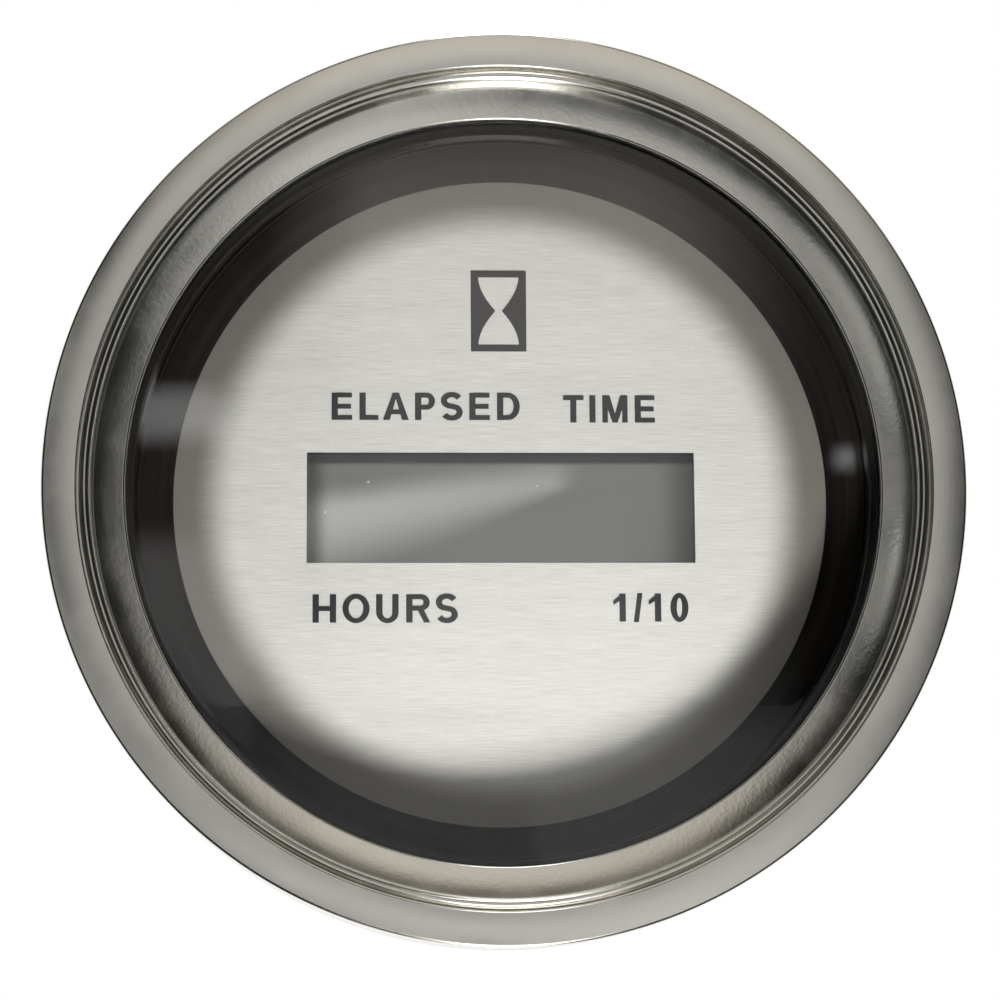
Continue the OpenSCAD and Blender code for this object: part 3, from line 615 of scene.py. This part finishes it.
def slab(stroke, low, high):  # the stroke's two edges carried from the dial up to the face of the print
    closed = np.allclose(stroke[0], stroke[-1])
    stroke = stroke[:-1] if closed else stroke
    loop = stroke[:, [0, 1, 1, 0]]
    points = placed(loop[..., 0], np.array([high, high, low, low]) + 0 * loop[..., 0], loop[..., 1])
    faces = gridFaces(len(stroke), 4, closed, True)
    last = 4 * len(stroke) - 4
    ends = np.array([[0, 1, 2, 3], [last + 3, last + 2, last + 1, last]])
    return points, faces if closed else np.concatenate([faces, ends])


def spelled(word, left, right, foot, head, form):  # the signs set side by side, the row fitted to its box
    shapes = letterShapes(form)
    pen, strokes = -shapes[word[0]][1], []
    for sign in word:
        width, before, after, parts = shapes[sign]
        strokes += [part + (pen + before, 0) for part in parts]
        pen += before + width + after
    scale = np.array([(right - left) / (pen - after), head - foot])
    low = dialFront + form["lift"]
    steps = np.arange(len(strokes)) * form["layer"]  # each stroke a hair higher than the last
    return [slab(stroke * scale + (left, foot), low + step, low + step + form["thick"])
            for stroke, step in zip(strokes, steps)]


for word, left, right, foot, head in legendForm["words"]:
    newPiece("legend_" + word.replace("/", "_").lower(),
             spelled(word, left, right, foot, head, legendForm), ink, sharp=20)

signForm = {"centre": (-0.1, 13.18), "half": (1.91, 2.85), "glassHalf": (1.39, 2.37), "neck": 0.215,
            "bowl": 1.8, "rows": 64, "thick": 0.02, "lift": 0.004}


def around(wide, half, rows, ends):  # up the left side, over the head, down the right, back along the foot
    level = np.full_like(ends, half[1])
    return np.concatenate([
        np.stack([-wide, rows * half[1]], -1), np.stack([ends * half[0], level], -1),
        np.stack([wide, -rows * half[1]], -1), np.stack([-ends * half[0], -level], -1)])


def signFrame(form):  # a dark rectangle drawn in to the outline of an hourglass, side by side round the loop
    t = np.linspace(-1, 1, form["rows"])
    width = form["neck"] + (form["glassHalf"][0] - form["neck"]) * (1 - (1 - np.abs(t)) ** form["bowl"])
    ends = np.linspace(-1, 1, 9)[1:-1]
    glass = around(width, form["glassHalf"], t, ends)
    edge = around(np.full_like(t, form["half"][0]), form["half"], t, ends)
    loop = np.stack([edge, glass, glass, edge], 1) + np.array(form["centre"])
    front, back = dialFront + form["lift"] + form["thick"], dialFront + form["lift"]
    height = np.array([front, front, back, back])
    return placed(loop[..., 0], height + 0 * loop[..., 0], loop[..., 1]), gridFaces(len(loop), 4, True, True)


newPiece("hourglassSign", [signFrame(signForm)], ink, sharp=20)
print("legends:", len(legendForm["words"]), "and the sign")


# mounting studs: rolled thread behind the case, plain shank in the wall, hexagonal head inside

studForm = {"radius": 2.08, "pitch": 0.794, "depth": 0.42, "crest": 0.14, "perTurn": 14, "steps": 56,
            "chamfer": 0.7, "headRadius": 4.2, "headThick": 2.5, "headChamfer": 0.3, "plain": 0.2,
            "runOut": 0.8}


def threaded(form, centre, start, end, tip):  # r falls and rises once a pitch along a helix
    radius = form["radius"]
    count = int((start - tip) / form["pitch"] * form["perTurn"])
    f = np.linspace(start, tip, count)[None, :]
    angle = np.linspace(0, 2 * np.pi, form["steps"], endpoint=False)[:, None]
    wave = np.abs(((f / form["pitch"] + angle / (2 * np.pi)) % 1) * 2 - 1)
    cut = np.clip((wave - form["crest"]) / (1 - 2 * form["crest"]), 0, 1) * form["depth"]
    cut = cut * np.clip((end - f) / form["runOut"], 0, 1)
    r = np.minimum(radius - cut, radius - form["chamfer"] + np.clip(f - tip, 0, form["chamfer"]))
    r = np.concatenate([np.zeros((form["steps"], 1)), r, np.zeros((form["steps"], 1))], 1)
    f = np.concatenate([f[:, :1], f, f[:, -1:]], 1)
    points = placed(centre[0] + r * np.cos(angle), f + 0 * angle, centre[1] + r * np.sin(angle))
    return points, gridFaces(form["steps"], r.shape[1], True, False)


studReach = spread("mounting_studs")
caseBack = spread("case")["back"]
headFront, headBack = studReach["front"], studReach["front"] - studForm["headThick"]
headRadius, headChamfer = studForm["headRadius"], studForm["headChamfer"]
studHead = line((0, headBack), (headRadius, headBack), (headRadius, headFront - headChamfer),
                (headRadius - headChamfer, headFront), (0, headFront))
studSurfaces = []
for nut in ("thumb_nut_left", "thumb_nut_right"):
    at = middle(nut)
    studSurfaces.append(threaded(studForm, at, headBack, caseBack - studForm["plain"], studReach["back"]))
    studSurfaces.append(turned(studHead, 6, at))
newPiece("threadedStuds", studSurfaces, finishes["plated_steel"], replaced="mounting_studs", sharp=50)
print("studs: pitch", studForm["pitch"], "mm")


# thumb nuts: collar and a fluted head

nutForm = {"head": 5.0, "collar": 1.5, "collarRadius": 4.2, "radius": 5.5, "chamfer": 0.6, "flutes": 20,
           "flute": 0.55, "bore": 2.13, "mouth": 0.3, "soft": 0.12, "step": 0.05, "proud": 0.02, "rows": 14,
           "fluteFrom": 0.2, "steps": 360}


def flutedNut(form, centre, front):  # the head's radius is cut back to a ring of small cylinders
    steps = np.linspace(0, 2 * np.pi, form["steps"], endpoint=False)[:, None]
    pitch = 2 * np.pi / form["flutes"]
    off = (steps + pitch / 2) % pitch - pitch / 2
    reach = form["radius"] + form["flute"] / 4
    root = np.maximum(form["flute"] ** 2 - (reach * np.sin(off)) ** 2, 0)
    cut = np.where(root > 0, reach * np.cos(off) - np.sqrt(root), form["radius"])
    shoulder, back = front - form["collar"], front - form["collar"] - form["head"]
    soft, chamfer, top, rows = form["soft"], form["chamfer"], form["radius"], form["rows"]
    bore, mouth = form["bore"], form["mouth"]
    side = np.linspace(shoulder - chamfer, back + chamfer, rows)
    profile = np.concatenate([
        line((bore, back + mouth), (bore, front - mouth), (bore + mouth, front)),
        arc(form["collarRadius"] - soft, front - soft, soft, 90, 0, 4),
        line((form["collarRadius"], shoulder + form["step"])),
        arc(top - chamfer, shoulder - soft, soft, 90, 45, 3),
        np.stack([np.full(rows, top + form["proud"]), side], -1),
        arc(top - chamfer, back + soft, soft, -45, -90, 3),
        line((bore + mouth, back))])
    r, f = profile[:, 0], profile[:, 1]
    r = np.where(r > form["collarRadius"] + form["fluteFrom"], np.minimum(r, cut), r)
    points = placed(centre[0] + r * np.cos(steps), f + 0 * steps, centre[1] + r * np.sin(steps))
    return points, gridFaces(form["steps"], len(profile), True, True)


for side in ("left", "right"):
    node = "thumb_nut_" + side
    low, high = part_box(node)
    newPiece("flutedNut_" + side, [flutedNut(nutForm, middle(node), -low[1] / mm)], finishes["brass"],
             "nut_" + side, node, sharp=40)
print("nuts:", nutForm["flutes"], "flutes each")


# pieces that keep their solid's form, with their edges softened

softForm = {
    "case": ("caseShell", "meter", 0.25), "clamp_bracket": ("clampStrip", "clamp", 0.18),
    "spring_washers": ("splitWashers", "clamp", 0.1), "lamp_holder": ("lampSocket", "lamp", 0.3),
    "lamp_blade": ("lampTab", "lamp", 0.1), "supply_blade": ("supplyTab", "meter", 0.12),
    "ground_blade": ("groundTab", "meter", 0.12), "panel_gasket": ("panelSeal", "meter", 0.15),
}
for node, (name, body, edge) in softForm.items():
    softened(name, node, finishes[slotOf[node]], body, edge)
print("softened:", len(softForm))


# stage: floor, room, lamps and camera

floorForm = {"height": -40, "half": 1500}
floorMesh = bpy.data.meshes.new("floor")
half, height = floorForm["half"] * mm, floorForm["height"] * mm
floorCorners = [(-half, -half, height), (half, -half, height), (half, half, height), (-half, half, height)]
floorMesh.from_pydata(floorCorners, [], [(0, 1, 2, 3)])
floor = bpy.data.objects.new("floor", floorMesh)
bpy.context.scene.collection.objects.link(floor)
floorFinish, floorShader, floorPlace = newFinish("paleFloor", Roughness=0.8)
floorPlace.noise(8, 2).tint(grey(240), grey(244)).into(floorShader, "Base Color")
floorMesh.materials.append(floorFinish)
floor.visible_shadow = False  # the lamps under it still reach the dial
floor.visible_glossy = False

roomForm = {
    "fillFront": 0.10, "fillBack": 0.36,  # light all round on dull surfaces
    "dark": 0.015, "level": 0.38, "rise": 0.28, "floor": 0.11,  # the room in front, as metal and glass see it
    "eye": 0.156, "near": (0.03, 0.15), "top": (0.36, 0.56), "low": (-0.02, 0.14), "middle": 0.045,
    "side": (0.08, 0.26), "warm": (0.26, 0.36), "warmShade": (1.06, 1.0, 0.91, 1),
    "metalTurn": (-0.25, 0.15), "dullTurn": (-0.1, 0.2),  # from behind the meter to in front of it
    "cards": [  # paler and darker things there: left, right, their softness, foot, head, theirs, level
        (0.068, 0.36, 0.006, -0.30, -0.03, 0.02, 0.34), (-0.30, -0.165, 0.012, -0.06, 0.12, 0.02, 0.38),
        (-0.27, -0.185, 0.015, 0.205, 0.245, 0.015, 1.15), (0.317, 0.329, 0.011, 0.180, 0.192, 0.011, 2.2),
        (-0.5, 0.8, 0.1, 0.55, 0.85, 0.08, 0.25),
        (-0.13, -0.035, 0.03, 0.03, 0.13, 0.03, -0.18), (0.15, 0.22, 0.03, 0.06, 0.13, 0.03, -0.16),
        (-0.26, -0.08, 0.02, 0.24, 0.42, 0.03, -0.22),
    ],
}


def makeRoom(form):  # white to the eye and behind; in front a dark room with a grey wall, dimmer at eye level
    world = bpy.data.worlds.new("room")
    bpy.context.scene.world = world
    world.use_nodes = True
    tree = world.node_tree
    back = tree.nodes["Background"]
    way = Sock(tree, tree.nodes.new("ShaderNodeTexCoord").outputs["Generated"])
    up, ahead, side = way.axis("Z"), 0 - way.axis("Y"), way.axis("X")
    path = tree.nodes.new("ShaderNodeLightPath").outputs
    seen = Sock(tree, path["Is Camera Ray"])
    shiny = Sock(tree, path["Is Glossy Ray"]) + Sock(tree, path["Is Transmission Ray"])
    offLevel = (up - form["eye"]).unsigned()
    wall = form["level"] + form["rise"] * offLevel.band(*form["near"])
    low = (0 - up).band(*form["low"])
    wall = wall * (1 - low) + form["floor"] * low
    offMiddle = (side - form["middle"]).unsigned()
    within = (1 - up.band(*form["top"])) * (1 - offMiddle.band(*form["side"]))
    room = form["dark"] + wall * within
    for left, right, sideSoft, foot, head, upSoft, level in form["cards"]:
        wide = side.band(left - sideSoft, left + sideSoft)
        wide = wide * (1 - side.band(right - sideSoft, right + sideSoft))
        tall = up.band(foot - upSoft, foot + upSoft) * (1 - up.band(head - upSoft, head + upSoft))
        room = room + level * wide * tall
    room = 0.5 * (room + room.unsigned())  # never less than black
    inFront = ahead.band(*form["metalTurn"])
    glossy = room * inFront + (1 - inFront)
    facing = ahead.band(*form["dullTurn"])
    dull = form["fillBack"] + (form["fillFront"] - form["fillBack"]) * facing
    strength = seen + (1 - seen) * (shiny * glossy + (1 - shiny) * dull)
    strength.into(back, "Strength")
    (shiny * inFront * up.band(*form["warm"])).tint((1, 1, 1, 1), form["warmShade"]).into(back, "Color")


makeRoom(roomForm)

lampForm = {  # place, what it faces, width, height, watts, seen in reflections
    "keyLow": ((34, 97, -123), (0, 2, 0), 22, 22, 0.52, False),
    "stripLow": ((8, 147, -192), (0, 2, 0), 52, 364, 0.18, True),
    "stripHigh": ((8, 90, 272), (0, 2, 0), 60, 248, 0.13, True),
    "sideSoft": ((-260, -30, 120), (0, -20, 0), 200, 200, 0.8, False),
    "backSoft": ((180, -320, 260), (0, -20, 0), 260, 260, 1.6, False),
}
for name, (place, target, width, height, watts, shiny) in lampForm.items():
    lamp = bpy.data.lights.new(name, "AREA")
    lamp.shape = "RECTANGLE"
    lamp.size, lamp.size_y, lamp.energy = width * mm, height * mm, watts
    fixture = bpy.data.objects.new(name, lamp)
    bpy.context.scene.collection.objects.link(fixture)
    fixture.location = spot(place)
    fixture.rotation_mode = "QUATERNION"
    fixture.rotation_quaternion = (spot(target) - spot(place)).to_track_quat("-Z", "Y")
    fixture.visible_camera = False
    fixture.visible_glossy = shiny
    fixture.visible_transmission = shiny
print("lamps:", len(lampForm))

cameraForm = {"azimuth": -2.58, "elevation": -9.16, "distance": 205, "lens": 110.9, "sensor": 36,
              "nearest": 10, "roll": -0.38, "aim": (0, 8, 0), "right": -0.346, "up": -0.951}


def makeCamera(form):  # on a sphere round the aim, which sits a little off the picture's middle
    a, e = math.radians(form["azimuth"]), math.radians(form["elevation"])
    back = Vector((math.sin(a) * math.cos(e), -math.cos(a) * math.cos(e), math.sin(e)))
    turn = (-back).to_track_quat("-Z", "Y")
    camera = bpy.data.cameras.new("view")
    camera.lens = form["lens"]
    camera.sensor_width = form["sensor"]
    camera.clip_start = form["nearest"] * mm
    holder = bpy.data.objects.new("view", camera)
    bpy.context.scene.collection.objects.link(holder)
    aim = spot(form["aim"]) + turn @ Vector((form["right"] * mm, form["up"] * mm, 0))
    holder.location = aim + back * form["distance"] * mm
    holder.rotation_mode = "QUATERNION"
    holder.rotation_quaternion = turn @ Quaternion((0, 0, 1), math.radians(form["roll"]))
    bpy.context.scene.camera = holder


makeCamera(cameraForm)
bpy.context.scene.view_settings.view_transform = "Standard"
print("camera:", cameraForm["distance"], "mm away")
